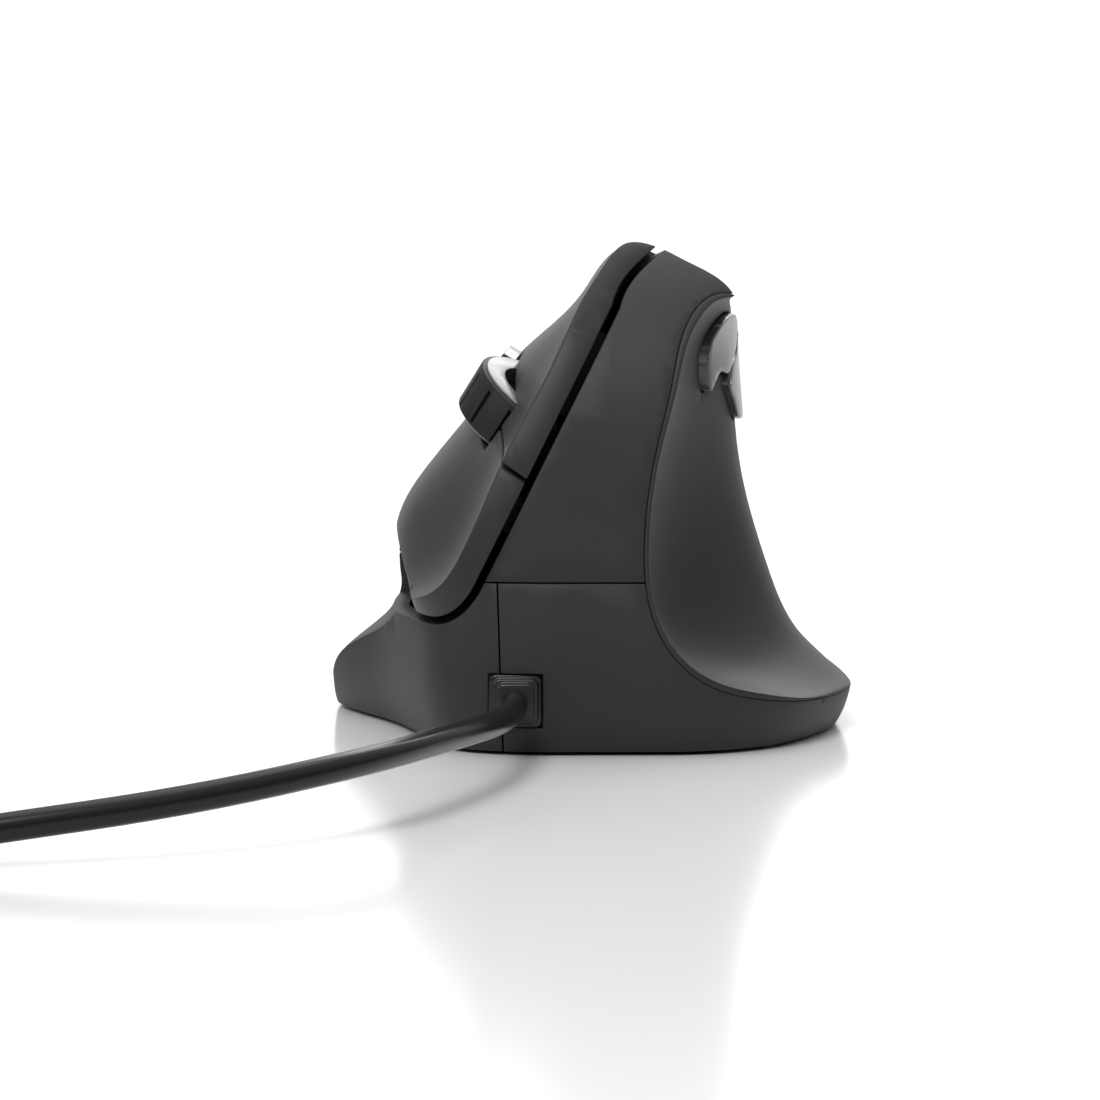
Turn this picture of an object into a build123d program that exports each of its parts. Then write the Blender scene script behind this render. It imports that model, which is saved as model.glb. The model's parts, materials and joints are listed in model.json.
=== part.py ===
from build123d import *
import math
import os

os.makedirs("parts", exist_ok=True)

# Overall sizes of the housing: -Y is the cable end, -X the finger side, +X the thumb side
body_length = 116
body_width = 77.6
body_height = 70.6
half_length = body_length / 2
half_width = body_width / 2
overrun = 20

# Walls and clearances of the mouldings
wall = 2.0
button_wall = 2.4
seam_gap = 0.2
button_gap = 1.1
button_edge_gap = 0.5
skirt_flare = 2.4
foot_height = 0.5
base_thickness = 2.0
facet_margin = 0.6

# Seams of the housing
front_seam_height = 23.7
cable_seam_top = -12.7
cable_seam_foot = -11.2
palm_seam_along = 7.0
palm_seam_lean = 6.0
crease_margin = 0.3
crease_gap = 0.06

# Cross-sections of the housing from the thumb wing over the crown to the finger flare,
# as shares of half the width and of the height: at the cable end, and at mid length
thumb_front_shares = [
    (1.160, 0.085), (0.786, 0.094), (0.620, 0.108), (0.454, 0.133), (0.296, 0.198), (0.216, 0.290),
    (0.198, 0.404), (0.235, 0.572), (0.300, 0.722), (0.372, 0.851), (0.420, 0.879), (0.520, 0.888),
]
thumb_middle_shares = [
    (1.160, 0.075), (0.997, 0.088), (0.897, 0.132), (0.804, 0.182), (0.727, 0.252), (0.668, 0.340),
    (0.603, 0.460), (0.564, 0.581), (0.546, 0.708), (0.541, 0.829), (0.543, 0.862), (0.531, 0.886),
]
crown_front_shares = [
    (0.500, 0.908), (0.348, 0.960), (0.232, 0.991), (0.155, 1.000), (0.067, 0.960), (-0.052, 0.841),
    (-0.162, 0.724), (-0.322, 0.561), (-0.428, 0.425), (-0.515, 0.340), (-0.631, 0.289),
]
crown_middle_shares = [
    (0.485, 0.908), (0.335, 0.960), (0.232, 0.990), (0.129, 0.989), (-0.013, 0.900), (-0.235, 0.779),
    (-0.418, 0.659), (-0.603, 0.533), (-0.706, 0.439), (-0.735, 0.361), (-0.729, 0.283),
]
flare_front_shares = [(-0.670, 0.241), (-0.670, 0.142), (-0.657, 0.042)]
flare_middle_shares = [(-0.742, 0.241), (-0.861, 0.173), (-0.985, 0.082)]

# Stations along the length: place, how far the thumb and finger sides have opened out,
# then the shares of width and height left by the rounding at the palm end
station_shares = [
    (-0.540, 0.00, 0.00, 1.00, 1.000),
    (-0.430, 0.10, 0.06, 1.00, 1.000),
    (-0.300, 0.58, 0.56, 1.00, 1.000),
    (-0.150, 1.00, 1.00, 1.00, 1.000),
    (0.020, 1.00, 1.00, 1.00, 0.995),
    (0.180, 1.00, 1.00, 0.98, 0.925),
    (0.320, 1.00, 1.00, 0.90, 0.745),
    (0.430, 1.00, 1.00, 0.74, 0.470),
    (0.530, 1.00, 1.00, 0.46, 0.060),
]

# Outline of the foot of the housing, as shares of half the width and half the length
outline_shares = [
    (-0.954, 0.021), (-0.850, -0.170), (-0.740, -0.340), (-0.640, -0.560), (-0.545, -0.800),
    (-0.455, -0.930), (-0.290, -0.990), (0.080, -1.000), (0.394, -0.985), (0.613, -0.890),
    (0.791, -0.695), (0.881, -0.530), (0.933, -0.370), (0.935, -0.140), (0.890, 0.210),
    (0.800, 0.520), (0.590, 0.800), (0.230, 0.997), (-0.210, 1.005), (-0.620, 0.830),
    (-0.880, 0.570), (-0.980, 0.280),
]
# Levels of the outline: height, share of the skirt's flare, and how far the cable end leans back
level_shares = [
    (0.000, 0.0, 0.000), (0.085, 1.0, 0.000), (0.350, 1.0, 0.015), (0.620, 1.0, 0.042),
    (0.820, 1.0, 0.085), (0.930, 1.0, 0.140), (1.010, 1.0, 0.215),
]

# Edge of the finger panel's recess as seen from the cable end, from the crown down to the flare
recess_shares = [
    (0.420, 1.090), (0.278, 0.983), (0.175, 0.932), (0.108, 0.864), (-0.372, 0.336), (-0.422, 0.290),
    (-0.490, 0.258), (-0.580, 0.248),
]
recess_floor_top = 3
recess_floor_foot = 4
panel_back_foot = 3.0
panel_back_top = -3.0
split_gap = 0.6
# Edge of the finger panel as seen square on, from the crown round the lower corner to the palm:
# shares of half the length forwards of the wheel and of the height up the slope from it
panel_edge_shares = [
    (0.088, 0.439), (0.238, 0.323), (0.347, 0.188), (0.433, -0.047), (0.466, -0.191), (0.453, -0.276),
    (0.402, -0.346), (0.321, -0.387), (0.207, -0.404), (0.000, -0.408),
]
# How much longer and wider the panel's edge is at its foot than at its face
panel_foot_share = 1.06
panel_foot_width_share = 1.28
panel_face = 5.0
panel_foot = 10.0

# Scroll wheel: its middle, and how its axle slopes and turns towards the cable end
wheel_across = -6.6
wheel_along = -30.0
wheel_up = 44.5
wheel_slope = 58.0
wheel_turn = 15.0
wheel_radius = 12.0
tyre_width = 6.8
tyre_depth = 2.2
rim_radius = 11.3
rim_thickness = 0.35
hub_recess_radius = 8.4
hub_recess_depth = 2.0
tread_grooves = 15
tread_groove_width = 0.7
tread_groove_depth = 0.9
tread_edge_low = 0.3
tread_edge_high = 1.1
axle_radius = 0.8
running_clearance = 0.05
slot_margin = 0.45
wheel_margin = 0.8
carrier_gap = 0.4
carrier_wall = 1.6
carrier_low = 1.4
carrier_high = 0.3
carrier_lug = 1.6
carrier_tongue = 0.9
wheel_switch_along = -10.5
wheel_travel = 0.6
encoder_width = 7.0
encoder_depth = 4.0
encoder_top = 2.0

# Switches and boards
board_thickness = 1.0
switch_length = 9.0
switch_width = 4.6
switch_height = 1.8
plunger_radius = 0.8
plunger_height = 0.4
button_travel = 0.38
press_gap = 0.05
# Places of the left and the right switch on the button board, ahead of and beside the wheel
left_switch_place = (8.2, 8.8)
right_switch_place = (8.2, -12.8)
small_switch = 3.4
stem_radius = 1.6
board_back = -21.4
board_front = 13.2
board_half_width = 15.5
board_window_margin = 0.5
pad_travel = 0.5

# Resolution button behind the wheel
strip_half_width = 4.2
strip_gap = 0.4
pad_length = 6.0
pad_width = 3.6
pad_proud = 1.9
pad_gap = 0.2

# Thumb buttons, as outlines seen from the thumb side
thumb_button_proud = 1.15
thumb_button_depth = 2.2
thumb_button_gap = 0.35
thumb_travel = 0.6
front_thumb_shares = [
    (-0.702, 0.785), (-0.668, 0.815), (-0.610, 0.838), (-0.483, 0.853), (-0.370, 0.845), (-0.318, 0.822),
    (-0.328, 0.800), (-0.400, 0.765), (-0.483, 0.732), (-0.555, 0.737), (-0.615, 0.715), (-0.650, 0.700),
    (-0.675, 0.722), (-0.698, 0.755),
]
rear_thumb_shares = [
    (-0.262, 0.818), (-0.170, 0.800), (-0.075, 0.755), (-0.045, 0.700), (-0.100, 0.660), (-0.220, 0.640),
    (-0.320, 0.636), (-0.372, 0.650), (-0.420, 0.680), (-0.470, 0.716), (-0.455, 0.733), (-0.393, 0.757),
    (-0.316, 0.793),
]
thumb_board_across = 9.0
thumb_board_height = 19.0
thumb_board_length = 34.0
thumb_board_up = 50.0
thumb_board_along = -22.0
thumb_switch_size = 6.0
thumb_switch_height = 1.2
# Places of the two switches on the thumb board, along and up, for the forward and the back button
forward_switch_place = (-30.0, 55.8)
back_switch_place = (-13.0, 51.0)
thumb_post_radius = 1.2
thumb_post_up = 43.0
thumb_post_offset = 14.0

# Base, feet, sensor and main board
base_clearance = 0.15
foot_length = 30.0
foot_width = 7.0
side_foot_length = 12.0
foot_corner = 3.0
foot_places_shares = [(0.05, -0.80, 1), (-0.08, 0.76, 1), (-0.62, 0.28, 0), (0.62, 0.10, 0)]
sensor_across = 0.0
sensor_along = -4.0
lens_length = 12.0
lens_width = 8.0
lens_lift = 0.4
lens_flange = 2.0
lens_flange_thickness = 1.0
sensor_length = 12.0
sensor_width = 10.0
sensor_height = 2.6
main_board_up = 5.0
main_board_width = 28.0
main_board_length = 70.0
main_board_along = -7.0
chip_size = 7.0
chip_height = 1.0
chip_along = 14.0
post_radius = 2.2
board_screw_radius = 1.0
board_screw_head = 1.9
board_screw_head_height = 1.4
board_screw_length = 3.5
post_inset = 3.0
front_post_inset = 12.0
connector_width = 7.0
connector_length = 6.0
connector_height = 4.2
screw_radius = 1.1
screw_head_radius = 2.4
screw_head_height = 1.1
screw_length = 8.0
boss_radius = 2.8
boss_top = 12.0
boss_web = 12.0
# Screw places: across, along, and the way to the wall that the boss stands on
boss_places_shares = [(0.22, -0.80, 270), (-0.46, -0.50, 180), (0.52, 0.36, 0), (-0.62, 0.50, 180)]

# Cable, its strain relief and its plug
cable_diameter = 3.4
lead_diameter = 3.0
plug_shell_width = 12.0
plug_shell_height = 4.5
plug_shell_length = 12.0
plug_shell_wall = 0.4
plug_tongue_height = 1.8
plug_grip_width = 15.0
plug_grip_height = 8.0
plug_grip_length = 20.0
plug_grip_corner = 1.6
plug_neck_length = 8.0
plug_neck_diameter = 5.4
coil_outer_radius = 23.6
coil_half_turns = 5
coil_layers = 4
coil_pitch = 4.3
coil_sides = 8
gland_across = -10.2
gland_up = 7.7
gland_front = -62.0
gland_nose = 5.0
gland_collar = 7.2
gland_collar_depth = 1.2
gland_neck = 6.0
gland_seat = -59.0
gland_step = 6.1
gland_step_depth = 0.6
gland_flange_depth = 1.2

# Route of the cable from the strain relief to the coil, and from the coil to the plug
cord_route = [
    (-10.2, -62.0, 7.7), (-10.2, -80.0, 7.7), (-16.5, -108.0, 8.8), (-27.0, -136.0, 8.9), (-46.0, -152.5, 6.6),
    (-68.0, -158.0, 4.1), (-86.0, -161.1, 1.7), (-100.0, -161.1, 1.7),
]
tail_route = [
    (-106.8, -163.25, 14.6), (-121.0, -163.25, 14.6), (-137.0, -158.5, 10.0), (-146.5, -144.5, 5.2),
    (-149.0, -129.0, 4.0), (-149.0, -119.0, 4.0),
]


def move_in(points, distance, closed):
    """Points of an outline, each moved to the left of its way along by a distance."""
    moved = []
    count = len(points)
    for i, (x, y) in enumerate(points):
        before = points[i - 1] if closed or i else points[0]
        after = points[(i + 1) % count] if closed or i + 1 < count else points[i]
        run = math.hypot(after[0] - before[0], after[1] - before[1])
        moved.append((x - distance * (after[1] - before[1]) / run, y + distance * (after[0] - before[0]) / run))
    return moved


def cross(shares):
    """Points of an outline seen from the cable end, in millimetres."""
    return [(x * half_width, z * body_height) for x, z in shares]


def blend(front, middle, share):
    """Points between two tables of shares, in millimetres."""
    return cross([(a + (c - a) * share, b + (d - b) * share) for (a, b), (c, d) in zip(front, middle)])


def lengthwise_form(inset):
    """The housing's cross-sections lofted from the cable end to the palm end. The inner form has
    every second point and station, and flat facets between them."""
    inner = inset > 0
    stations = station_shares[1::2] if inner else station_shares[:6] if inset else station_shares
    with BuildPart() as form:
        for place, thumb_share, finger_share, width_share, height_share in stations:
            thumb = blend(thumb_front_shares, thumb_middle_shares, thumb_share)
            crown = blend(crown_front_shares, crown_middle_shares, finger_share)
            if inner:
                thumb = thumb[:-2:2]
                crown = crown[1::2]
            flare = blend(flare_front_shares, flare_middle_shares, finger_share)
            ring = [
                (x * width_share if abs(x) < half_width else x, z * height_share) for x, z in thumb + crown + flare
            ]
            ring = move_in(ring, inset, False)
            brow = len(thumb) - 1
            tongue = brow + len(crown)
            right = half_width + overrun
            with BuildSketch(Plane.XZ.offset(-place * body_length)):
                with BuildLine():
                    Polyline(ring[-1], (ring[-1][0], -overrun), (right, -overrun), (right, ring[0][1]), ring[0])
                    if inner:
                        Polyline(*ring)
                    else:
                        Spline(*ring[:brow + 1])
                        Spline(*ring[brow:tongue + 1])
                        Spline(*ring[tongue:])
                make_face()
        loft(ruled=inner)
    return form.part


def upright_form(inset):
    """The housing's outline lofted upwards, with the cable end leaning back. The inner form is faceted."""
    inner = inset > 0
    with BuildPart() as form:
        for height_share, flare_share, lean_share in level_shares[::3] if inner else level_shares:
            lean = lean_share * body_length
            outline = outline_shares[::2] if inner else outline_shares
            points = [(x * half_width, y * half_length + lean * (1 - y) / 2) for x, y in outline]
            points = move_in(points, inset - skirt_flare * flare_share, True)
            with BuildSketch(Plane.XY.offset(height_share * body_height)):
                with BuildLine():
                    if inner:
                        Polyline(*points, close=True)
                    else:
                        Spline(*points, periodic=True)
                make_face()
        loft(ruled=inner)
    return form.part


def recess_form(gap):
    """All that lies outside the recess of the finger panel, seen from the cable end."""
    edge = move_in(cross(recess_shares), -gap, False)
    with BuildPart() as form:
        with BuildSketch(Plane.XZ):
            with BuildLine():
                Spline(*edge[:recess_floor_top + 1])
                Line(edge[recess_floor_top], edge[recess_floor_foot])
                Spline(*edge[recess_floor_foot:])
                Polyline(edge[-1], (-body_width, edge[-1][1]), (-body_width, edge[0][1]), edge[0])
            make_face()
        extrude(amount=body_length, both=True)
    return form.part


def facing(sketch_plane, points, depth_low, depth_high, smooth=False):
    """A straight-sided block: an outline on a plane, from one distance along its normal to another."""
    with BuildPart() as block:
        with BuildSketch(sketch_plane.offset(depth_low)):
            with BuildLine():
                if smooth:
                    Spline(*points, periodic=True)
                else:
                    Polyline(*points, close=True)
            make_face()
        extrude(amount=depth_high - depth_low)
    return block.part


def back_form(gap):
    """All on the cable side of the panel's back edge, grown by a gap, and above the foot of the recess."""
    low = recess_shares[-1][1] * body_height
    high = body_height + overrun
    return facing(
        Plane.YZ,
        [(panel_back_top + gap, high), (-body_length, high), (-body_length, low), (panel_back_foot + gap, low)],
        -body_width, body_width,
    )


def panel_edge_form(rim):
    """The finger panel's outline seen square on, drawn in by a rim, and spreading towards its foot."""
    edge = [(x * half_length, y * body_height) for x, y in panel_edge_shares]
    with BuildPart() as form:
        for height, long_share, wide_share in (
            (panel_foot, 2 - panel_foot_share, 2 - panel_foot_width_share),
            (-panel_foot, panel_foot_share, panel_foot_width_share),
        ):
            grown = [(x * long_share, y * wide_share if y < 0 else y) for x, y in edge]
            ring = move_in(grown, -rim, False)
            with BuildSketch(slab_plane.offset(height + panel_face)):
                with BuildLine():
                    Spline(*ring)
                    Polyline(
                        ring[-1], (-body_length, ring[-1][1]), (-body_length, body_height),
                        (ring[0][0], body_height), ring[0],
                    )
                make_face()
        loft(ruled=True)
    return form.part


def rectangle(low_x, low_y, high_x, high_y):
    """The four corners of a rectangle."""
    return [(low_x, low_y), (high_x, low_y), (high_x, high_y), (low_x, high_y)]


# Planes of the recess floor and of the wheel
floor_foot = cross(recess_shares)[recess_floor_foot]
floor_top = cross(recess_shares)[recess_floor_top]
floor_angle = math.atan2(floor_top[1] - floor_foot[1], floor_top[0] - floor_foot[0])
floor_normal = Vector(-math.sin(floor_angle), 0, math.cos(floor_angle))
wheel_centre = Vector(wheel_across, wheel_along, wheel_up)
wheel_height = (wheel_centre - Vector(floor_foot[0], wheel_along, floor_foot[1])).dot(floor_normal)
floor_plane = Plane(origin=wheel_centre - floor_normal * wheel_height, x_dir=(0, -1, 0), z_dir=floor_normal)
slope = math.radians(wheel_slope)
turn = math.radians(wheel_turn)
wheel_axis = Vector(math.cos(slope) * math.cos(turn), -math.sin(turn), math.sin(slope) * math.cos(turn))
panel_normal = Vector(-math.sin(slope), 0, math.cos(slope))
wheel_forward = wheel_axis.cross(panel_normal)
slab_plane = Plane(origin=wheel_centre, x_dir=(0, -1, 0), z_dir=panel_normal)
panel_plane = Plane(origin=wheel_centre, x_dir=wheel_forward, z_dir=panel_normal)
wheel_plane = Plane(origin=wheel_centre, x_dir=wheel_forward, z_dir=wheel_axis)

# Solid forms that the pieces are cut from
with BuildPart() as envelope:
    add(upright_form(0))
    add(lengthwise_form(0), mode=Mode.INTERSECT)

with BuildPart() as panel_recess:
    add(recess_form(0))
    add(back_form(button_edge_gap), mode=Mode.INTERSECT)

with BuildPart() as recess_back:
    add(recess_form(-wall))
    add(back_form(button_edge_gap + wall), mode=Mode.INTERSECT)

base_top = foot_height + base_thickness
bosses = [(x * half_width, y * half_length, way) for x, y, way in boss_places_shares]


def foot_outline(inset):
    """The plate's outline: every second point of the housing's foot, moved in."""
    return move_in([(x * half_width, y * half_length) for x, y in outline_shares[::2]], inset, True)


with BuildPart() as cavity:
    add(upright_form(wall + facet_margin))
    add(lengthwise_form(wall + facet_margin), mode=Mode.INTERSECT)
    add(recess_back.part, mode=Mode.SUBTRACT)
    with BuildSketch(Plane.XY.offset(base_top)):
        for x, y, way in bosses:
            with Locations((x, y)):
                Circle(boss_radius)
            web_x = x + math.cos(math.radians(way)) * boss_web / 2
            web_y = y + math.sin(math.radians(way)) * boss_web / 2
            with Locations((web_x, web_y)):
                Rectangle(boss_web, boss_radius, rotation=way)
    extrude(amount=boss_top - base_top, mode=Mode.SUBTRACT)
    with BuildSketch(Plane.YZ.offset(thumb_board_across + board_thickness)):
        with Locations(*[(thumb_board_along + side * thumb_post_offset, thumb_post_up) for side in (-1, 1)]):
            Circle(thumb_post_radius)
    extrude(amount=half_width, mode=Mode.SUBTRACT)
    with BuildSketch(Plane.XY.offset(foot_height)):
        with Locations(*[(x, y) for x, y, way in bosses]):
            Circle(screw_radius)
    extrude(amount=screw_length)
    add(facing(Plane.XY, foot_outline(wall + facet_margin), -overrun, base_top))

with BuildPart() as housing:
    add(envelope.part)
    add(panel_recess.part, mode=Mode.SUBTRACT)
    add(cavity.part, mode=Mode.SUBTRACT)
    split(bisect_by=Plane.XY.offset(foot_height), keep=Keep.TOP)

# Regions that the seams divide the housing into
right = half_width + overrun
top = body_height + overrun


def thumb_region(margin):
    """All that lies on the thumb side of the crease, seen from the cable end."""
    crease = move_in(cross(thumb_front_shares), margin, False)
    with BuildPart() as region:
        with BuildSketch(Plane.XZ.offset(-body_length)):
            with BuildLine():
                Spline(*crease)
                Polyline(crease[-1], (right, crease[-1][1]), (right, crease[0][1]), crease[0])
            make_face()
        extrude(amount=2 * body_length)
    return region.part


def palm_side(gap):
    """All that lies on the cable side of the palm seam."""
    foot = palm_seam_along + palm_seam_lean / 2 - gap
    head = palm_seam_along - palm_seam_lean / 2 - gap
    return facing(
        Plane.YZ, [(foot, 0), (head, body_height), (head, top), (-body_length, top), (-body_length, 0)],
        -body_width, body_width,
    )


def cable_region(side):
    """The thumb side (1) or the finger side (-1) of the seam through the strain relief."""
    gap = side * seam_gap / 2
    return facing(
        Plane.XZ,
        [(cable_seam_foot + gap, -overrun), (cable_seam_top + gap, front_seam_height), (cable_seam_top + gap, top),
         (side * body_width, top), (side * body_width, -overrun)],
        -body_length, body_length,
    )


with BuildPart() as front_half:
    add(housing.part)
    add(palm_side(seam_gap / 2), mode=Mode.INTERSECT)

with BuildPart() as cable_side:
    add(front_half.part)
    add(thumb_region(crease_margin + crease_gap), mode=Mode.SUBTRACT)

# Cover pieces
def side_points(shares, gap):
    """An outline seen from the side, grown by a gap."""
    return move_in([(y * half_length, z * body_height) for y, z in shares], -gap, True)


with BuildPart() as thumb_holes:
    for shares in (front_thumb_shares, rear_thumb_shares):
        hole = side_points(shares[::-1], thumb_button_gap)
        add(facing(Plane.YZ, hole, thumb_board_across, body_width, smooth=True))

with BuildPart() as thumb_grip:
    add(front_half.part)
    add(thumb_region(crease_margin), mode=Mode.INTERSECT)
    add(thumb_holes.part, mode=Mode.SUBTRACT)

# Crown shell, with the opening in the recess floor that the wheel and its carrier sink into
hub_half = tyre_width / 2 + rim_thickness
carrier_end = wheel_radius + wheel_margin + carrier_wall
cheek_out = hub_half + carrier_gap + carrier_wall
window = rectangle(-carrier_end - board_window_margin, -cheek_out - board_window_margin,
                   carrier_end + board_window_margin, cheek_out + board_window_margin)
with BuildPart() as crown_shell:
    add(cable_side.part)
    split(bisect_by=Plane.XY.offset(front_seam_height + seam_gap / 2), keep=Keep.TOP)
    add(thumb_holes.part, mode=Mode.SUBTRACT)
    add(facing(panel_plane, window, -wheel_radius - wheel_margin, 0), mode=Mode.SUBTRACT)

gland_plane = Plane.XZ.offset(-gland_front)


def gland_square(size):
    """The corners of a square about the middle of the strain relief."""
    return rectangle(gland_across - size / 2, gland_up - size / 2, gland_across + size / 2, gland_up + size / 2)


gland_hole = gland_square(gland_neck)
gland_seat_hole = gland_square(gland_collar + 2 * base_clearance)

with BuildPart() as lower_front:
    add(cable_side.part)
    split(bisect_by=Plane.XY.offset(front_seam_height - seam_gap / 2), keep=Keep.BOTTOM)
    add(facing(Plane.XZ, gland_hole, 0, body_length), mode=Mode.SUBTRACT)
    add(facing(Plane.XZ, gland_seat_hole, -gland_seat, body_length), mode=Mode.SUBTRACT)

with BuildPart() as front_cover:
    add(lower_front.part)
    add(cable_region(1), mode=Mode.INTERSECT)

with BuildPart() as finger_shell:
    add(lower_front.part)
    add(cable_region(-1), mode=Mode.INTERSECT)

with BuildPart() as palm_shell:
    add(housing.part)
    add(palm_side(-seam_gap / 2), mode=Mode.SUBTRACT)


# Underside: plate, feet, screws
board_x = sensor_across + main_board_width / 2 - post_inset
front_posts = main_board_along - main_board_length / 2 + front_post_inset
rear_posts = main_board_along + main_board_length / 2 - post_inset
board_posts = [(side * board_x, along) for side in (-1, 1) for along in (front_posts, rear_posts)]
board_top = main_board_up + board_thickness

with BuildPart() as base_plate:
    add(facing(Plane.XY, foot_outline(wall + facet_margin + base_clearance), foot_height, base_top))
    with BuildSketch(Plane.XY.offset(base_top)):
        with Locations(*board_posts):
            Circle(post_radius)
    extrude(amount=main_board_up - base_top)
    with BuildSketch(Plane.XY.offset(main_board_up)):
        with Locations(*board_posts):
            Circle(board_screw_radius)
    extrude(amount=-board_screw_length, mode=Mode.SUBTRACT)
    with BuildSketch(Plane.XY.offset(foot_height)):
        with Locations((sensor_across, sensor_along)):
            Rectangle(lens_width + base_clearance, lens_length + base_clearance)
    extrude(amount=base_thickness, mode=Mode.SUBTRACT)
    with BuildSketch(Plane.XY.offset(foot_height)):
        with Locations(*[(x, y) for x, y, way in bosses]):
            Circle(screw_radius + base_clearance)
    extrude(amount=base_thickness, mode=Mode.SUBTRACT)
    with BuildSketch(Plane.XY.offset(foot_height)):
        with Locations(*[(x, y) for x, y, way in bosses]):
            Circle(screw_head_radius + base_clearance)
    extrude(amount=screw_head_height, mode=Mode.SUBTRACT)

with BuildPart() as glide_feet:
    for x, y, along_x in foot_places_shares:
        with BuildSketch():
            with Locations((x * half_width, y * half_length)):
                if along_x:
                    RectangleRounded(foot_length, foot_width, foot_corner)
                else:
                    RectangleRounded(foot_width, side_foot_length, foot_corner)
        extrude(amount=foot_height)

with BuildPart() as housing_screws:
    with BuildSketch(Plane.XY.offset(foot_height)):
        with Locations(*[(x, y) for x, y, way in bosses]):
            Circle(screw_head_radius)
    extrude(amount=screw_head_height)
    with BuildSketch(Plane.XY.offset(foot_height)):
        with Locations(*[(x, y) for x, y, way in bosses]):
            Circle(screw_radius)
    extrude(amount=screw_length)


# Main board and what it carries
with BuildPart() as main_board:
    with BuildSketch(Plane.XY.offset(main_board_up)):
        with Locations((sensor_across, main_board_along)):
            Rectangle(main_board_width, main_board_length)
        with Locations(*board_posts):
            Circle(board_screw_radius + running_clearance, mode=Mode.SUBTRACT)
        with Locations((sensor_across, sensor_along)):
            Rectangle(lens_width / 2, lens_length / 2, mode=Mode.SUBTRACT)
    extrude(amount=board_thickness)

with BuildPart() as board_screws:
    with BuildSketch(Plane.XY.offset(board_top)):
        with Locations(*board_posts):
            Circle(board_screw_head)
    extrude(amount=board_screw_head_height)
    with BuildSketch(Plane.XY.offset(board_top)):
        with Locations(*board_posts):
            Circle(board_screw_radius)
    extrude(amount=-board_thickness - board_screw_length)

with BuildPart() as sensor_lens:
    with BuildSketch(Plane.XY.offset(foot_height + lens_lift)):
        with Locations((sensor_across, sensor_along)):
            Rectangle(lens_width, lens_length)
    extrude(amount=main_board_up - foot_height - lens_lift)
    with BuildSketch(Plane.XY.offset(base_top)):
        with Locations((sensor_across, sensor_along)):
            Rectangle(lens_width + lens_flange, lens_length + lens_flange)
    extrude(amount=lens_flange_thickness)
    fillet(edges().filter_by(Axis.Z), lens_flange / 4)

with BuildPart() as optical_sensor:
    with BuildSketch(Plane.XY.offset(board_top)):
        with Locations((sensor_across, sensor_along)):
            Rectangle(sensor_width, sensor_length)
    extrude(amount=sensor_height)

with BuildPart() as controller_chip:
    with BuildSketch(Plane.XY.offset(board_top)):
        with Locations((sensor_across, chip_along)):
            Rectangle(chip_size, chip_size)
    extrude(amount=chip_height)

connector_along = main_board_along - main_board_length / 2 + connector_length / 2
with BuildPart() as cable_connector:
    with BuildSketch(Plane.XY.offset(board_top)):
        with Locations((gland_across, connector_along)):
            Rectangle(connector_width, connector_length)
    extrude(amount=connector_height)

# Finger panel: two click buttons, the strip between them, and the wheel's opening
with BuildPart() as panel_form:
    add(lengthwise_form(0))
    add(recess_form(button_gap), mode=Mode.INTERSECT)
    add(panel_edge_form(0), mode=Mode.INTERSECT)
    add(back_form(0), mode=Mode.INTERSECT)

stem_low = board_thickness + switch_height + plunger_height + button_travel

with BuildPart() as panel_hollow:
    add(lengthwise_form(button_wall + facet_margin))
    add(panel_edge_form(button_wall), mode=Mode.INTERSECT)
    add(back_form(-button_wall), mode=Mode.INTERSECT)
    with BuildSketch(floor_plane.offset(stem_low)):
        with Locations(left_switch_place, right_switch_place):
            Circle(stem_radius)
    extrude(amount=wheel_radius, mode=Mode.SUBTRACT)

slot_half = wheel_radius + wheel_margin
far = body_width
with BuildPart() as click_buttons:
    add(panel_form.part)
    add(panel_hollow.part, mode=Mode.SUBTRACT)
    add(
        facing(
            panel_plane, rectangle(-slot_half, -hub_half - slot_margin, slot_half, hub_half + slot_margin),
            -far, far,
        ),
        mode=Mode.SUBTRACT,
    )
    add(facing(panel_plane, rectangle(0, -split_gap / 2, far, split_gap / 2), -far, far), mode=Mode.SUBTRACT)
    strip_side = strip_half_width + strip_gap
    add(facing(panel_plane, rectangle(-far, -strip_side, -slot_half, strip_side), -far, far), mode=Mode.SUBTRACT)

halves = click_buttons.solids().sort_by(Axis.Z)

with BuildPart() as left_click_button:
    add(halves[-1])

with BuildPart() as right_click_button:
    add(halves[0])

with BuildPart() as centre_strip:
    add(lengthwise_form(0))
    add(
        facing(
            panel_plane,
            rectangle(-body_length, -strip_half_width, -slot_half - strip_gap, strip_half_width),
            -far, far,
        ),
        mode=Mode.INTERSECT,
    )
    add(recess_form(0), mode=Mode.INTERSECT)
    add(back_form(0), mode=Mode.INTERSECT)

pad_x = -slot_half - strip_gap - pad_length / 2 - pad_gap - strip_gap
strip_foot = carrier_end + small_switch + pad_length
with centre_strip:
    add(
        facing(
            panel_plane, rectangle(-strip_foot, -far, far, far), -far, carrier_high + 2 * wheel_travel
        ),
        mode=Mode.SUBTRACT,
    )
    add(
        facing(
            panel_plane,
            rectangle(pad_x - pad_length / 2 - pad_gap, -pad_width / 2 - pad_gap,
                      pad_x + pad_length / 2 + pad_gap, pad_width / 2 + pad_gap),
            -far, far,
        ),
        mode=Mode.SUBTRACT,
    )

# Resolution button: its top follows the panel, standing proud of it
with BuildPart() as resolution_button:
    add(lengthwise_form(-pad_proud))
    add(
        facing(
            panel_plane,
            rectangle(pad_x - pad_length / 2, -pad_width / 2, pad_x + pad_length / 2, pad_width / 2),
            carrier_high + wheel_travel, far,
        ),
        mode=Mode.INTERSECT,
    )


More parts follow.
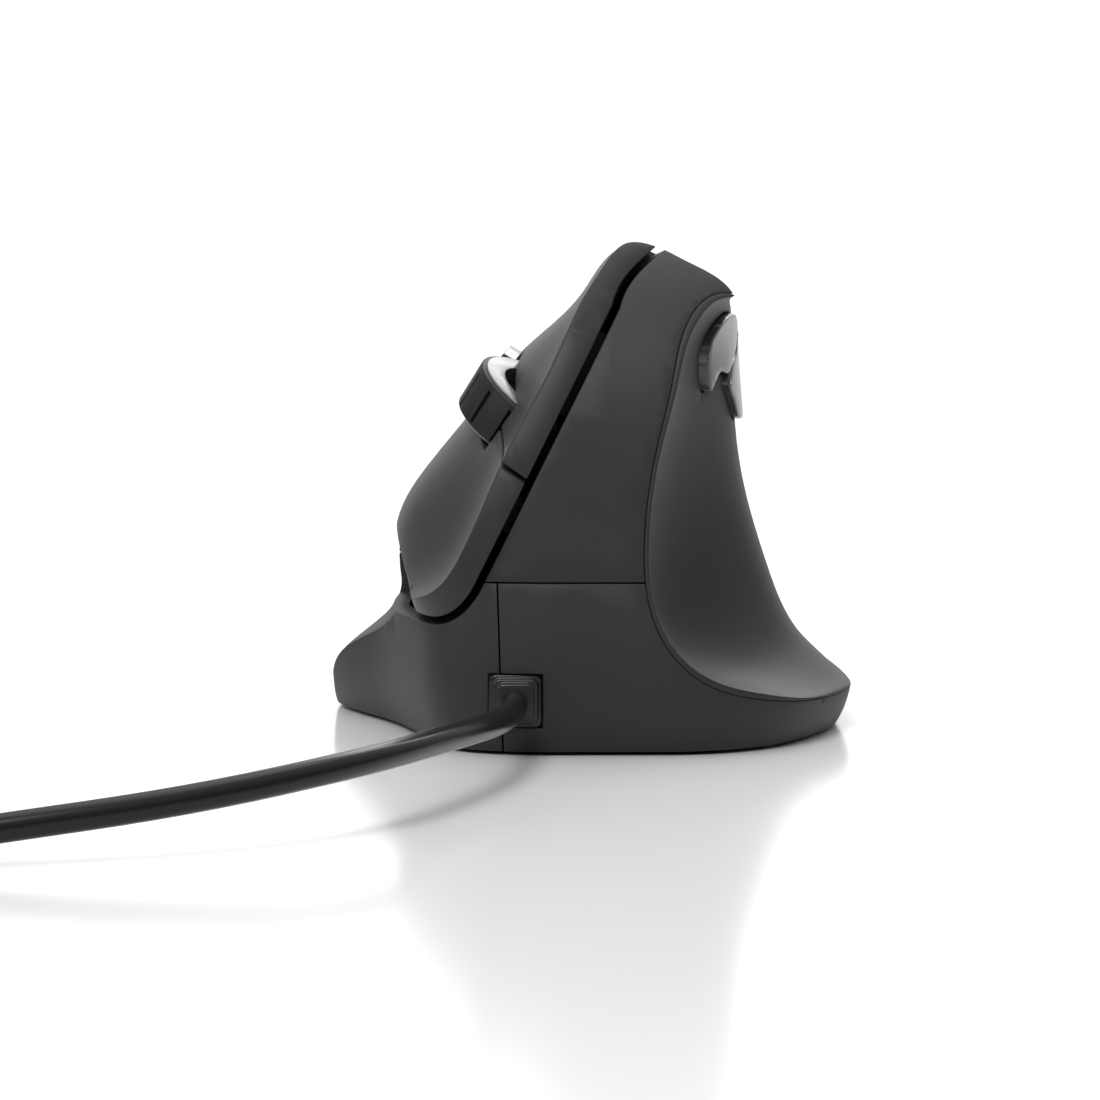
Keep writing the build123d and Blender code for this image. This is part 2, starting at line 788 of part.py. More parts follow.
# Scroll wheel on its axle, and the carrier that lets it be pressed
with BuildPart() as wheel_tyre:
    with BuildSketch(wheel_plane.offset(-tyre_width / 2)):
        Circle(wheel_radius)
        Circle(wheel_radius - tyre_depth, mode=Mode.SUBTRACT)
    extrude(amount=tyre_width)
    with BuildSketch(wheel_plane.offset(tread_edge_low - tyre_width / 2)):
        with PolarLocations(wheel_radius, tread_grooves):
            Rectangle(2 * tread_groove_depth, tread_groove_width)
    extrude(amount=tyre_width - tread_edge_low - tread_edge_high, mode=Mode.SUBTRACT)

with BuildPart() as wheel_hub:
    with BuildSketch(wheel_plane.offset(-hub_half)):
        Circle(rim_radius)
    extrude(amount=rim_thickness)
    with BuildSketch(wheel_plane.offset(-tyre_width / 2)):
        Circle(wheel_radius - tyre_depth)
    extrude(amount=tyre_width)
    with BuildSketch(wheel_plane.offset(tyre_width / 2)):
        Circle(rim_radius)
    extrude(amount=rim_thickness)
    for face_height in (-hub_half, hub_half - hub_recess_depth):
        with BuildSketch(wheel_plane.offset(face_height)):
            Circle(hub_recess_radius)
        extrude(amount=hub_recess_depth, mode=Mode.SUBTRACT)
    with BuildSketch(wheel_plane.offset(-hub_half)):
        Circle(axle_radius)
    extrude(amount=2 * hub_half, mode=Mode.SUBTRACT)

tongue_reach = board_window_margin + small_switch
with BuildPart() as wheel_axle:
    with BuildSketch(wheel_plane.offset(-cheek_out)):
        Circle(axle_radius)
    extrude(amount=2 * cheek_out)

with BuildPart() as wheel_carrier:
    with BuildSketch(panel_plane.offset(-carrier_low)):
        Rectangle(2 * carrier_end, 2 * cheek_out)
        Rectangle(2 * (carrier_end - carrier_wall), 2 * (cheek_out - carrier_wall), mode=Mode.SUBTRACT)
    extrude(amount=carrier_low + carrier_high)
    with BuildSketch(panel_plane.offset(-carrier_low)):
        with Locations((0, cheek_out - carrier_wall / 2), (0, carrier_wall / 2 - cheek_out)):
            Rectangle(2 * carrier_lug, carrier_wall)
    extrude(amount=carrier_low + carrier_lug)
    with BuildSketch(wheel_plane.offset(-cheek_out)):
        Circle(axle_radius + running_clearance)
    extrude(amount=2 * cheek_out, mode=Mode.SUBTRACT)
    with BuildSketch(panel_plane.offset(carrier_high - carrier_tongue)):
        with Locations((wheel_switch_along, -cheek_out - tongue_reach / 2)):
            Rectangle(small_switch, tongue_reach)
    extrude(amount=carrier_tongue)

# Button board on the recess floor, with its switches and the encoder
with BuildPart() as button_board:
    with BuildSketch(floor_plane):
        with Locations(((board_back + board_front) / 2, 0)):
            Rectangle(board_front - board_back, 2 * board_half_width)
    extrude(amount=board_thickness)
    add(
        facing(
            panel_plane,
            rectangle(-carrier_end - board_window_margin, -cheek_out - board_window_margin,
                      far, cheek_out + board_window_margin),
            -far, far,
        ),
        mode=Mode.SUBTRACT,
    )

board_face = floor_plane.offset(board_thickness)


def click_switch(place):
    """A switch under a click button, with its plunger."""
    with BuildPart() as switch:
        with BuildSketch(board_face):
            with Locations(place):
                Rectangle(switch_length, switch_width)
        extrude(amount=switch_height)
        with BuildSketch(board_face.offset(switch_height)):
            with Locations(place):
                Circle(plunger_radius)
        extrude(amount=plunger_height)
    return switch.part


with BuildPart() as left_switch:
    add(click_switch(left_switch_place))

with BuildPart() as right_switch:
    add(click_switch(right_switch_place))

with BuildPart() as scroll_encoder:
    add(
        facing(
            panel_plane,
            rectangle(-encoder_width / 2, -cheek_out - wheel_margin - encoder_depth,
                      encoder_width / 2, -cheek_out - wheel_margin),
            -wheel_radius, encoder_top,
        )
    )
    split(bisect_by=board_face, keep=Keep.TOP)

with BuildPart() as wheel_switch:
    add(
        facing(
            panel_plane,
            rectangle(wheel_switch_along - small_switch / 2, -cheek_out - tongue_reach,
                      wheel_switch_along + small_switch / 2, small_switch - cheek_out - tongue_reach),
            -wheel_radius, carrier_high - carrier_tongue - wheel_travel - press_gap,
        )
    )
    split(bisect_by=board_face, keep=Keep.TOP)

with BuildPart() as resolution_switch:
    add(
        facing(
            panel_plane,
            rectangle(pad_x - small_switch / 2, -small_switch / 2, pad_x + small_switch / 2, small_switch / 2),
            -wheel_radius, carrier_high + wheel_travel - pad_travel - press_gap,
        )
    )
    split(bisect_by=board_face, keep=Keep.TOP)


# Thumb buttons, their board and switches
def thumb_button(shares, place):
    """A thumb button: its top stands proud of the thumb side, and a stem reaches towards its switch."""
    stem_end = thumb_board_across + board_thickness + thumb_switch_height + thumb_travel + press_gap
    with BuildPart() as hollow:
        add(lengthwise_form(thumb_button_depth))
        with BuildSketch(Plane.YZ.offset(stem_end)):
            with Locations(place):
                Circle(stem_radius)
        extrude(amount=body_width, mode=Mode.SUBTRACT)
    with BuildPart() as button:
        add(facing(Plane.YZ, side_points(shares[::-1], 0), thumb_board_across, body_width, smooth=True))
        add(lengthwise_form(-thumb_button_proud), mode=Mode.INTERSECT)
        add(hollow.part, mode=Mode.SUBTRACT)
    return button.part


def thumb_switch(place):
    """A switch on the thumb board."""
    with BuildPart() as switch:
        with BuildSketch(Plane.YZ.offset(thumb_board_across + board_thickness)):
            with Locations(place):
                Rectangle(thumb_switch_size, thumb_switch_size)
        extrude(amount=thumb_switch_height)
    return switch.part


with BuildPart() as forward_button:
    add(thumb_button(front_thumb_shares, forward_switch_place))

with BuildPart() as back_button:
    add(thumb_button(rear_thumb_shares, back_switch_place))

with BuildPart() as forward_switch:
    add(thumb_switch(forward_switch_place))

with BuildPart() as back_switch:
    add(thumb_switch(back_switch_place))

with BuildPart() as thumb_board:
    with BuildSketch(Plane.YZ.offset(thumb_board_across)):
        with Locations((thumb_board_along, thumb_board_up)):
            Rectangle(thumb_board_length, thumb_board_height)
    extrude(amount=board_thickness)

# Strain relief: nose, stepped collar on its seat, neck through the wall, and the flange inside
cavity_front = -station_shares[1][0] * body_length
with BuildPart() as strain_relief:
    for size, start, finish in (
        (gland_nose, -gland_seat + gland_collar_depth + gland_step_depth, -gland_front),
        (gland_step, -gland_seat + gland_collar_depth, -gland_seat + gland_collar_depth + gland_step_depth),
        (gland_collar, -gland_seat, -gland_seat + gland_collar_depth),
        (gland_neck - 2 * base_clearance, cavity_front, -gland_seat),
        (gland_collar, cavity_front - gland_flange_depth, cavity_front),
    ):
        with BuildSketch(Plane.XZ.offset(start)):
            with Locations((gland_across, gland_up)):
                RectangleRounded(size, size, gland_nose / 5)
        extrude(amount=finish - start)

lead_start = cavity_front - gland_flange_depth
lead_end = -connector_along + connector_length / 2
with BuildPart() as inner_lead:
    with BuildSketch(Plane.XZ.offset(lead_end)):
        with Locations((gland_across, gland_up)):
            Circle(lead_diameter / 2)
    extrude(amount=lead_start - lead_end)


def cable_path(points):
    """A way along straight runs, joined by arcs as large as the runs allow."""
    ways = [Vector(*after) - Vector(*before) for before, after in zip(points, points[1:])]
    radii = []
    for before, after in zip(ways, ways[1:]):
        turning = math.radians(before.get_angle(after))
        radii.append(0.45 * min(before.length, after.length) / math.tan(turning / 2))
    print("cable radii", [round(radius, 1) for radius in radii])
    return FilletPolyline(*points, radius=radii)


def cable_tube(points):
    """The cable along a route."""
    with BuildPart() as tube:
        with BuildLine() as way:
            cable_path(points)
        with BuildSketch(Plane(origin=way.wire() @ 0, z_dir=way.wire() % 0)):
            Circle(cable_diameter / 2)
        sweep()
    section = math.pi * cable_diameter ** 2 / 4
    print("cable tube", round(tube.part.volume, 2), "section times length", round(section * way.wire().length, 2))
    return tube.part


with BuildPart() as cord:
    add(cable_tube(cord_route))

with BuildPart() as cord_tail:
    add(cable_tube(tail_route))

# Coil: half turns that spiral in and out, each layer climbing to the next in its last half turn
coil_start = Vector(*cord_route[-1])
coil_centre = Vector(coil_start.X - cable_diameter, coil_start.Y + coil_outer_radius, 0)
with BuildPart() as cord_coil:
    with BuildLine() as coil_way:
        radius = coil_outer_radius
        height = coil_start.Z
        side = -1
        here = Vector(coil_centre.X, coil_start.Y, height)
        Line(coil_start, here)
        for layer in range(coil_layers):
            step = coil_pitch / 2 if layer % 2 else -coil_pitch / 2
            last = layer == coil_layers - 1
            for half_turn in range(coil_half_turns + 1):
                climbing = half_turn == coil_half_turns and not last
                if not climbing:
                    radius += step
                else:
                    height += coil_pitch
                side = -side
                after = Vector(coil_centre.X, coil_centre.Y + side * radius, height)
                way_in = Vector(side * -1, 0, 0)
                reach = (after - here).length / 2
                middle = (here + way_in * reach + after + way_in * reach) * 0.5
                if climbing:
                    TangentArc(here, middle, tangent=way_in)
                    TangentArc(after, middle, tangent=way_in)
                else:
                    ThreePointArc(here, middle, after)
                here = after
        Line(here, here - Vector(cable_diameter, 0, 0))
    with BuildSketch(Plane(origin=coil_start, z_dir=(-1, 0, 0))):
        RegularPolygon(cable_diameter / 2, coil_sides)
    sweep()

# Least gap between the coil's turns, measured on points along it
coil_length = coil_way.wire().length
spot_count = round(coil_length / cable_diameter)
spots = [coil_way.wire() @ (i / spot_count) for i in range(spot_count + 1)]
least = min((a - b).length for i, a in enumerate(spots) for b in spots[i + coil_sides:])
print("coil length", round(coil_length, 1), "least gap", round(least - cable_diameter, 2))

# Plug at the end of the cable
plug_start = Vector(*tail_route[-1])
plug_plane = Plane(origin=plug_start, x_dir=(-1, 0, 0), z_dir=(0, 1, 0))
with BuildPart() as plug_grip:
    with BuildSketch(plug_plane):
        Circle(plug_neck_diameter / 2)
    extrude(amount=plug_neck_length)
    with BuildSketch(plug_plane.offset(plug_neck_length)):
        RectangleRounded(plug_grip_width, plug_grip_height, plug_grip_corner)
    extrude(amount=plug_grip_length)

with BuildPart() as plug_shell:
    with BuildSketch(plug_plane.offset(plug_neck_length + plug_grip_length)):
        Rectangle(plug_shell_width, plug_shell_height)
        Rectangle(
            plug_shell_width - 2 * plug_shell_wall, plug_shell_height - 2 * plug_shell_wall, mode=Mode.SUBTRACT
        )
    extrude(amount=plug_shell_length)

with BuildPart() as plug_tongue:
    with BuildSketch(plug_plane.offset(plug_neck_length + plug_grip_length)):
        with Locations((0, plug_shell_height / 2 - plug_shell_wall - plug_tongue_height / 2)):
            Rectangle(plug_shell_width - 2 * plug_shell_wall, plug_tongue_height)
    extrude(amount=plug_shell_length - plug_shell_wall)

for name, piece in (
    ("thumb_grip", thumb_grip), ("crown_shell", crown_shell), ("front_cover", front_cover),
    ("finger_shell", finger_shell), ("palm_shell", palm_shell), ("base_plate", base_plate),
    ("glide_feet", glide_feet), ("housing_screws", housing_screws), ("main_board", main_board),
    ("board_screws", board_screws), ("sensor_lens", sensor_lens), ("optical_sensor", optical_sensor),
    ("controller_chip", controller_chip), ("cable_connector", cable_connector),
    ("left_click_button", left_click_button), ("right_click_button", right_click_button),
    ("centre_strip", centre_strip), ("resolution_button", resolution_button), ("wheel_tyre", wheel_tyre),
    ("wheel_hub", wheel_hub), ("wheel_axle", wheel_axle), ("wheel_carrier", wheel_carrier),
    ("button_board", button_board), ("left_switch", left_switch), ("right_switch", right_switch),
    ("scroll_encoder", scroll_encoder), ("wheel_switch", wheel_switch),
    ("resolution_switch", resolution_switch), ("forward_button", forward_button),
    ("back_button", back_button), ("thumb_board", thumb_board), ("forward_switch", forward_switch),
    ("back_switch", back_switch), ("strain_relief", strain_relief), ("inner_lead", inner_lead),
    ("cord", cord), ("cord_coil", cord_coil), ("cord_tail", cord_tail), ("plug_grip", plug_grip),
    ("plug_shell", plug_shell), ("plug_tongue", plug_tongue),
):
    piece.part.label = name
    export_step(piece.part, "parts/" + name + ".step")
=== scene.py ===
import json
import math

import bpy
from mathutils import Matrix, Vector


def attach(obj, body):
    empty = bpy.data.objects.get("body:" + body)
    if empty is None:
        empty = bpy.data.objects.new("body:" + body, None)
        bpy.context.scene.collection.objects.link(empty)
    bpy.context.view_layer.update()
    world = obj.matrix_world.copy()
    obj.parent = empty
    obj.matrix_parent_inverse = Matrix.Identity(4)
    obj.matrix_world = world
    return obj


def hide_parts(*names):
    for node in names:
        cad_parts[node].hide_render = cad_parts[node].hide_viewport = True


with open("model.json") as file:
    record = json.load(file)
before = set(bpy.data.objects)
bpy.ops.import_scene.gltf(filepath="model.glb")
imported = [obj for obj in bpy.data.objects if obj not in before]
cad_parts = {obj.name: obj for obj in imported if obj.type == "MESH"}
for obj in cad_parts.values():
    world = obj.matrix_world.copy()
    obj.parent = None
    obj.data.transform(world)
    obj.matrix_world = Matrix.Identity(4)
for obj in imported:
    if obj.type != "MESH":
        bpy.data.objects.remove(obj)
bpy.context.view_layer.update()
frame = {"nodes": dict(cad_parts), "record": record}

MM = 0.001

# The photograph's frame, in pixels: the side of its square, the focal length and the row of the horizon
photo_size = 1100
photo_focal = 3675
photo_horizon = 300

# The camera
sensor_size = 36.0
camera_place = Vector((-5.5, -558.0, 62.2)) * MM
camera_near = 0.01
camera_far = 50

# The cable's route in millimetres: from the strain relief to the coil, and from the coil to the plug
cord_route = [
    (-10.2, -62.0, 7.7), (-10.2, -80.0, 7.7), (-16.5, -108.0, 8.8), (-27.0, -136.0, 8.9),
    (-46.0, -152.5, 6.6), (-68.0, -158.0, 4.1), (-86.0, -161.1, 1.7), (-100.0, -161.1, 1.7),
]
tail_route = [
    (-106.8, -163.25, 14.6), (-121.0, -163.25, 14.6), (-137.0, -158.5, 10.0), (-146.5, -144.5, 5.2),
    (-149.0, -129.0, 4.0), (-149.0, -119.0, 4.0),
]

# The coil, in millimetres: its layers, their half turns before the last one, and the steps in each
coil_centre = (-103.4, -137.5)
coil_outer_radius = 23.6
coil_pitch = 4.3
coil_layers = 4
coil_half_turns = 5
coil_steps = 8
coil_floor = 1.7

# The cable's diameter and length, in metres, and the steps along its curve and around it
cable_diameter = 3.4 * MM
curve_steps = 6
round_steps = 6

# Rounded edges: each piece's width
edge_widths = {
    "thumb_grip": 0.16 * MM, "crown_shell": 0.16 * MM, "front_cover": 0.10 * MM, "finger_shell": 0.10 * MM,
    "palm_shell": 0.16 * MM, "left_click_button": 0.22 * MM, "right_click_button": 0.22 * MM,
    "centre_strip": 0.10 * MM, "resolution_button": 0.18 * MM, "forward_button": 0.20 * MM,
    "back_button": 0.20 * MM, "strain_relief": 0.22 * MM, "base_plate": 0.25 * MM, "plug_grip": 0.25 * MM,
    "plug_shell": 0.10 * MM, "wheel_tyre": 0.22 * MM, "wheel_hub": 0.07 * MM, "glide_feet": 0.08 * MM,
}

# Points nearer than this are merged, and faces flatter than this are joined, before an edge is rounded
merge_distance = 0.001 * MM
flat_angle = 0.1

# An edge sharper than the first angle is rounded, in so many steps, and one below the second is shaded smooth
edge_angle = 32
edge_segments = 2
smooth_angle = 35

# What the finishes share: the index of refraction, and the noise of the cloudy tones and of the grain
shared_ior = 1.46
cloud_scale = 40.0
cloud_detail = 3.0
cloud_roughness = 0.5
grain_detail = 2.0
grain_roughness = 0.6
noise_middle = 0.5

# The wheel's centre, and the radius at which its glossy disc gives way to the dark recess, over a thin edge
wheel_centre = Vector((-6.6, -30.0, 44.5)) * MM
disc_inner_radius = 8.4 * MM
disc_edge = 0.1 * MM

# The disc's tone and the recess's, the recess's roughness, and how much smoother the disc is
disc_tone = 0.20
recess_tone = 0.010
recess_roughness = 0.42
disc_polish = 0.10

# The surround's light from the camera's side, and what it gains behind the mouse and overhead
front_light = 0.20
behind_light = 1.1
overhead_light = 0.75

# It gains them between two values of a direction's part along Y, and of its part along Z
behind_span = (0.80, 0.975)
overhead_span = (0.0, 1.0)

# The floor, and each lamp's place, the point that it faces, its size and its power
floor_radius = 8
floor_sides = 96
floor_tone = 0.78
lamps = {
    "top_light": ((0.05, 0.15, 0.95), (0, 0, 0.03), 0.8, 2.6),
    "left_light": ((-0.9, -0.35, 0.45), (0, 0, 0.03), 0.5, 1.6),
    "front_light": ((-0.22, -0.72, 0.80), (0, 0, 0.06), 0.35, 5.5),
    "rear_light": ((0.3, 0.9, 0.7), (0, 0, 0.03), 0.5, 2.5),
}


class Signal:
    """A value that varies over a surface or over the surround, with the arithmetic that they use."""

    def __init__(self, network, socket):
        self.network = network
        self.socket = socket

    def combine(self, operation, first, second):
        """The result of a sum on two values."""
        return self.network.node("ShaderNodeMath", {"operation": operation}, {0: first, 1: second})

    def __add__(self, other):
        return self.combine("ADD", self, other)

    def __radd__(self, other):
        return self.combine("ADD", other, self)

    def __sub__(self, other):
        return self.combine("SUBTRACT", self, other)

    def __rsub__(self, other):
        return self.combine("SUBTRACT", other, self)

    def __mul__(self, other):
        return self.combine("MULTIPLY", self, other)

    def __rmul__(self, other):
        return self.combine("MULTIPLY", other, self)


class Network:
    """The nodes of a material or of the surround."""

    def __init__(self, tree):
        self.tree = tree

    def put(self, socket, value):
        """Gives a socket its constant, or links it to a signal."""
        if isinstance(value, Signal):
            self.tree.links.new(value.socket, socket)
        else:
            socket.default_value = value

    def node(self, kind, settings, inputs, output=0):
        """A node of a kind: its settings first, then the values or links of its sockets."""
        made = self.tree.nodes.new(kind)
        for name, value in settings.items():
            setattr(made, name, value)
        for name, value in inputs.items():
            self.put(made.inputs[name], value)
        return Signal(self, made.outputs[output])


class Finish(Network):
    """A material and its surface shader, with the values that are the same all over it."""

    def __init__(self, name, constants):
        self.material = bpy.data.materials.new(name)
        self.material.use_nodes = True
        super().__init__(self.material.node_tree)
        self.tree.nodes.clear()
        self.surface = self.tree.nodes.new("ShaderNodeBsdfPrincipled")
        output = self.tree.nodes.new("ShaderNodeOutputMaterial")
        self.tree.links.new(self.surface.outputs["BSDF"], output.inputs["Surface"])
        for name, value in constants.items():
            self.feed(name, value)

    def feed(self, name, value):
        """Gives one of the surface shader's sockets its constant, or links it to a signal."""
        self.put(self.surface.inputs[name], value)

    def place(self):
        """The place on the object, in metres."""
        return self.node("ShaderNodeTexCoord", {}, {}, "Object")

    def noise(self, scale, detail, roughness):
        """Soft random variation, with features of about one over the scale, in metres."""
        values = {"Vector": self.place(), "Scale": scale, "Detail": detail, "Roughness": roughness}
        return self.node("ShaderNodeTexNoise", {"noise_dimensions": "3D"}, values, "Fac")

    def mix(self, share, first, second):
        """A colour between two colours."""
        return self.node("ShaderNodeMix", {"data_type": "RGBA"}, {0: share, 6: first, 7: second}, 2)

    def bump(self, height, distance):
        """Raises the surface by a signal."""
        self.feed("Normal", self.node("ShaderNodeBump", {}, {"Height": height, "Distance": distance}))


def grey(tone):
    """A neutral colour."""
    return (tone, tone, tone, 1)


def grained_finish(name, dark, light, roughness, spread, grain_size, grain_depth, constants=None):
    """A plastic, rubber or metal: two near tones, uneven gloss, and a fine grain."""
    finish = Finish(name, {"IOR": shared_ior, **(constants or {})})
    cloud = finish.noise(cloud_scale, cloud_detail, cloud_roughness)
    grain = finish.noise(1 / grain_size, grain_detail, grain_roughness)
    finish.feed("Base Color", finish.mix(cloud, grey(dark), grey(light)))
    finish.feed("Roughness", roughness + spread * (cloud - noise_middle) + spread * (grain - noise_middle))
    finish.bump(grain, grain_depth)
    return finish.material


def disc_plastic():
    """The wheel's hub: a glossy light grey ring round a dark recess."""
    finish = Finish("hub_grey", {"IOR": shared_ior, "Coat Weight": 0.15, "Coat Roughness": 0.15})
    places = {0: finish.place(), 1: wheel_centre}
    distance = finish.node("ShaderNodeVectorMath", {"operation": "DISTANCE"}, places, "Value")
    span = {"From Min": disc_inner_radius - disc_edge, "From Max": disc_inner_radius + disc_edge}
    ring = finish.node("ShaderNodeMapRange", {}, {"Value": distance, **span}, "Result")
    finish.feed("Base Color", finish.mix(ring, grey(recess_tone), grey(disc_tone)))
    finish.feed("Roughness", recess_roughness - ring * disc_polish)
    return finish.material


def make_finishes():
    """One material for each of the record's slots."""
    soft = {"Specular IOR Level": 0.32}
    dull = {"Specular IOR Level": 0.3}
    metal = {"Metallic": 1.0}
    return {
        "soft_shell": grained_finish(
            "charcoal_soft_touch", dark=0.017, light=0.021, roughness=0.52, spread=0.05,
            grain_size=0.22 * MM, grain_depth=0.006 * MM, constants=soft,
        ),
        "soft_button": grained_finish(
            "charcoal_button", dark=0.019, light=0.023, roughness=0.46, spread=0.05,
            grain_size=0.22 * MM, grain_depth=0.006 * MM, constants=soft,
        ),
        "base": grained_finish(
            "black_base", dark=0.012, light=0.016, roughness=0.55, spread=0.08,
            grain_size=0.4 * MM, grain_depth=0.02 * MM,
        ),
        "glide": grained_finish(
            "glide_film", dark=0.05, light=0.06, roughness=0.28, spread=0.05,
            grain_size=0.5 * MM, grain_depth=0.004 * MM,
        ),
        "steel": grained_finish(
            "zinc_plate", dark=0.48, light=0.58, roughness=0.32, spread=0.1,
            grain_size=0.3 * MM, grain_depth=0.004 * MM, constants=metal,
        ),
        "circuit_board": grained_finish(
            "solder_mask", dark=0.006, light=0.009, roughness=0.45, spread=0.08,
            grain_size=0.6 * MM, grain_depth=0.01 * MM,
        ),
        "lens": grained_finish(
            "clear_lens", dark=0.8, light=0.85, roughness=0.06, spread=0.02,
            grain_size=0.5 * MM, grain_depth=0.001 * MM, constants={"Transmission Weight": 0.9},
        ),
        "chip": grained_finish(
            "black_epoxy", dark=0.012, light=0.016, roughness=0.45, spread=0.05,
            grain_size=0.3 * MM, grain_depth=0.01 * MM,
        ),
        "white_nylon": grained_finish(
            "white_nylon", dark=0.62, light=0.7, roughness=0.4, spread=0.05,
            grain_size=0.4 * MM, grain_depth=0.006 * MM,
        ),
        "switch_body": grained_finish(
            "switch_black", dark=0.015, light=0.02, roughness=0.35, spread=0.05,
            grain_size=0.4 * MM, grain_depth=0.006 * MM,
        ),
        "panel_strip": grained_finish(
            "strip_black", dark=0.012, light=0.016, roughness=0.45, spread=0.06,
            grain_size=0.3 * MM, grain_depth=0.012 * MM,
        ),
        "resolution_top": grained_finish(
            "polished_black", dark=0.010, light=0.012, roughness=0.12, spread=0.03,
            grain_size=0.5 * MM, grain_depth=0.001 * MM,
            constants={"Coat Weight": 0.6, "Coat Roughness": 0.08},
        ),
        "thumb_gloss": grained_finish(
            "gunmetal_gloss", dark=0.07, light=0.085, roughness=0.24, spread=0.03,
            grain_size=0.3 * MM, grain_depth=0.001 * MM, constants={"Metallic": 0.45, **dull},
        ),
        "carrier_plastic": grained_finish(
            "carrier_black", dark=0.012, light=0.016, roughness=0.5, spread=0.05,
            grain_size=0.4 * MM, grain_depth=0.01 * MM,
        ),
        "tyre_rubber": grained_finish(
            "tyre_rubber", dark=0.007, light=0.010, roughness=0.5, spread=0.08,
            grain_size=0.25 * MM, grain_depth=0.012 * MM, constants=dull,
        ),
        "hub_plastic": disc_plastic(),
        "cable_rubber": grained_finish(
            "moulded_rubber", dark=0.008, light=0.011, roughness=0.32, spread=0.05,
            grain_size=0.3 * MM, grain_depth=0.008 * MM,
        ),
        "cable_jacket": grained_finish(
            "cable_jacket", dark=0.005, light=0.007, roughness=0.22, spread=0.03,
            grain_size=0.3 * MM, grain_depth=0.002 * MM, constants=dull,
        ),
        "plug_steel": grained_finish(
            "nickel_plate", dark=0.38, light=0.44, roughness=0.30, spread=0.08,
            grain_size=0.3 * MM, grain_depth=0.003 * MM, constants=metal,
        ),
    }


def make_camera():
    """The photograph's camera."""
    pitch = math.atan((photo_size / 2 - photo_horizon) / photo_focal)
    bpy.ops.object.camera_add(location=camera_place, rotation=(math.radians(90) - pitch, 0, 0))
    camera = bpy.context.object
    camera.data.sensor_width = sensor_size
    camera.data.lens = sensor_size * photo_focal / photo_size
    camera.data.clip_start = camera_near
    camera.data.clip_end = camera_far
    bpy.context.scene.camera = camera


def coil_points():
    """The coil's turns: layers that spiral in and out, each but the last with a climb at its end."""
    points = []
    radius = coil_outer_radius
    height = coil_floor
    count = 0
    for layer in range(coil_layers):
        for half_turn in range(coil_half_turns + 1):
            climbing = half_turn == coil_half_turns and layer < coil_layers - 1
            grown = 0 if climbing else coil_pitch / 2 * (1 if layer % 2 else -1)
            rise = coil_pitch if climbing else 0
            for i in range(coil_steps):
                share = i / coil_steps
                angle = -math.pi * (0.5 + count + share)
                # The curve passes inside its points, so they stand a little outside the turn
                reach = (radius + grown * share) / math.cos(math.pi / 2 / coil_steps)
                eased = share * share * (3 - 2 * share)
                points.append((
                    coil_centre[0] + reach * math.cos(angle), coil_centre[1] + reach * math.sin(angle),
                    height + rise * eased,
                ))
            radius += grown
            height += rise
            count += 1
    return points


def make_cord(finishes):
    """The cable from the strain relief through the coil to the plug."""
    points = [Vector(p) * MM for p in cord_route + coil_points() + tail_route]
    data = bpy.data.curves.new("cable", "CURVE")
    data.dimensions = "3D"
    spline = data.splines.new("NURBS")
    spline.points.add(len(points) - 1)
    for point, place in zip(spline.points, points):
        point.co = (*place, 1)
    spline.order_u = 3
    spline.use_endpoint_u = True
    spline.resolution_u = curve_steps
    data.bevel_depth = cable_diameter / 2
    data.bevel_resolution = round_steps
    data.use_fill_caps = True
    data.materials.append(finishes["cable_jacket"])
    cable = bpy.data.objects.new("cable", data)
    bpy.context.scene.collection.objects.link(cable)
    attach(cable, "housing")
    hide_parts("cord", "cord_coil", "cord_tail")


def make_surround():
    """A white surround behind the mouse, darker on the camera's side and brighter overhead."""
    world = bpy.data.worlds.new("surround")
    bpy.context.scene.world = world
    world.use_nodes = True
    network = Network(world.node_tree)
    background = world.node_tree.nodes["Background"]
    network.put(background.inputs["Color"], grey(1))
    direction = network.node("ShaderNodeTexCoord", {}, {}, "Generated")
    smooth = {"interpolation_type": "SMOOTHSTEP"}
    strength = front_light
    for axis, span, gain in (("Y", behind_span, behind_light), ("Z", overhead_span, overhead_light)):
        part = network.node("ShaderNodeSeparateXYZ", {}, {"Vector": direction}, axis)
        values = {"Value": part, "From Min": span[0], "From Max": span[1], "To Min": 0.0, "To Max": gain}
        strength = strength + network.node("ShaderNodeMapRange", smooth, values, "Result")
    network.put(background.inputs["Strength"], strength)


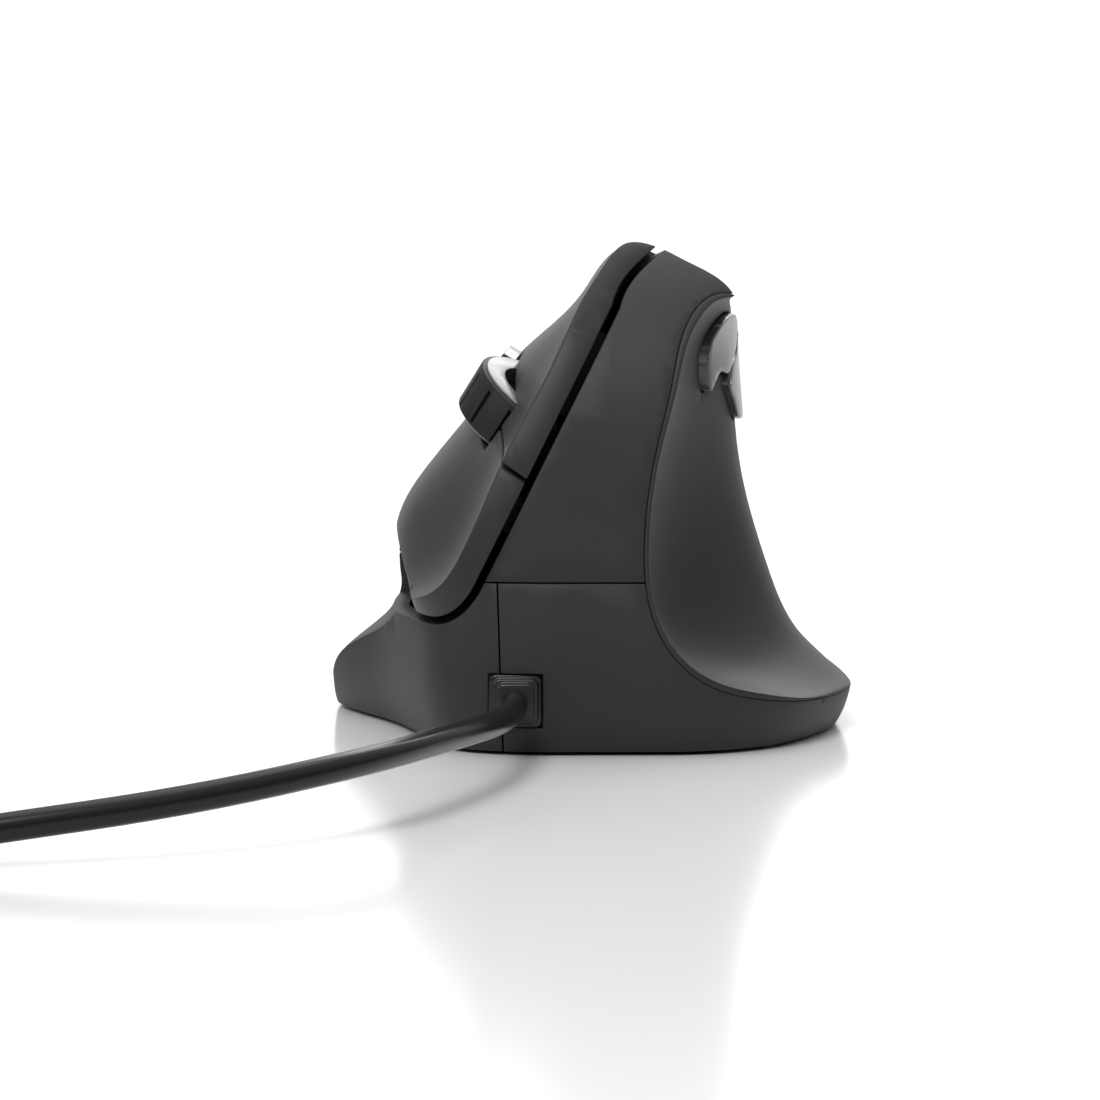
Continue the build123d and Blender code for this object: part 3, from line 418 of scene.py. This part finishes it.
def make_stage():
    """A pale floor and soft lights."""
    bpy.context.scene.view_settings.view_transform = "Standard"
    bpy.ops.mesh.primitive_circle_add(
        vertices=floor_sides, radius=floor_radius, fill_type="NGON", location=(0, 0, 0),
    )
    floor = bpy.context.object
    floor.name = "floor"
    finish = Finish("pale_floor", {"Base Color": grey(floor_tone), "Roughness": 0.16, "IOR": 1.42})
    floor.data.materials.append(finish.material)
    for name, (place, aim, size, power) in lamps.items():
        bpy.ops.object.light_add(type="AREA", location=place)
        lamp = bpy.context.object
        lamp.name = name
        lamp.data.size = size
        lamp.data.energy = power
        lamp.rotation_euler = (Vector(place) - Vector(aim)).to_track_quat("Z", "Y").to_euler()


def body_of(name):
    """The body that a CAD node belongs to."""
    for body, nodes in frame["record"]["behaviour"]["bodies"].items():
        if name in nodes:
            return body


def refine(name, slot, finishes):
    """A CAD node's shape with its edges rounded."""
    node = frame["nodes"][name]
    bpy.ops.object.select_all(action="DESELECT")
    piece = node.copy()
    piece.data = node.data.copy()
    piece.name = name + "_finished"
    bpy.context.scene.collection.objects.link(piece)
    bpy.context.view_layer.objects.active = piece
    piece.select_set(True)
    bpy.ops.object.mode_set(mode="EDIT")
    bpy.ops.mesh.select_all(action="SELECT")
    bpy.ops.mesh.remove_doubles(threshold=merge_distance)
    bpy.ops.mesh.dissolve_limited(angle_limit=math.radians(flat_angle))
    bpy.ops.object.mode_set(mode="OBJECT")
    edge = piece.modifiers.new("edge", "BEVEL")
    edge.width = edge_widths[name]
    edge.segments = edge_segments
    edge.limit_method = "ANGLE"
    edge.angle_limit = math.radians(edge_angle)
    edge.use_clamp_overlap = False
    bpy.ops.object.modifier_apply(modifier="edge")
    bpy.ops.object.shade_smooth_by_angle(angle=math.radians(smooth_angle))
    piece.data.materials.clear()
    piece.data.materials.append(finishes[slot])
    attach(piece, body_of(name))
    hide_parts(name)


def dress_nodes(finishes):
    """Each node takes its slot's finish, and those with an edge width have their edges rounded."""
    for row in frame["record"]["subparts"]:
        name, slot = row["node"], row["material_slot"]
        if name in edge_widths:
            refine(name, slot, finishes)
        else:
            node = frame["nodes"][name]
            node.data.materials.clear()
            node.data.materials.append(finishes[slot])


bpy.ops.object.select_all(action="DESELECT")
make_camera()
all_finishes = make_finishes()
make_cord(all_finishes)
make_surround()
make_stage()
dress_nodes(all_finishes)
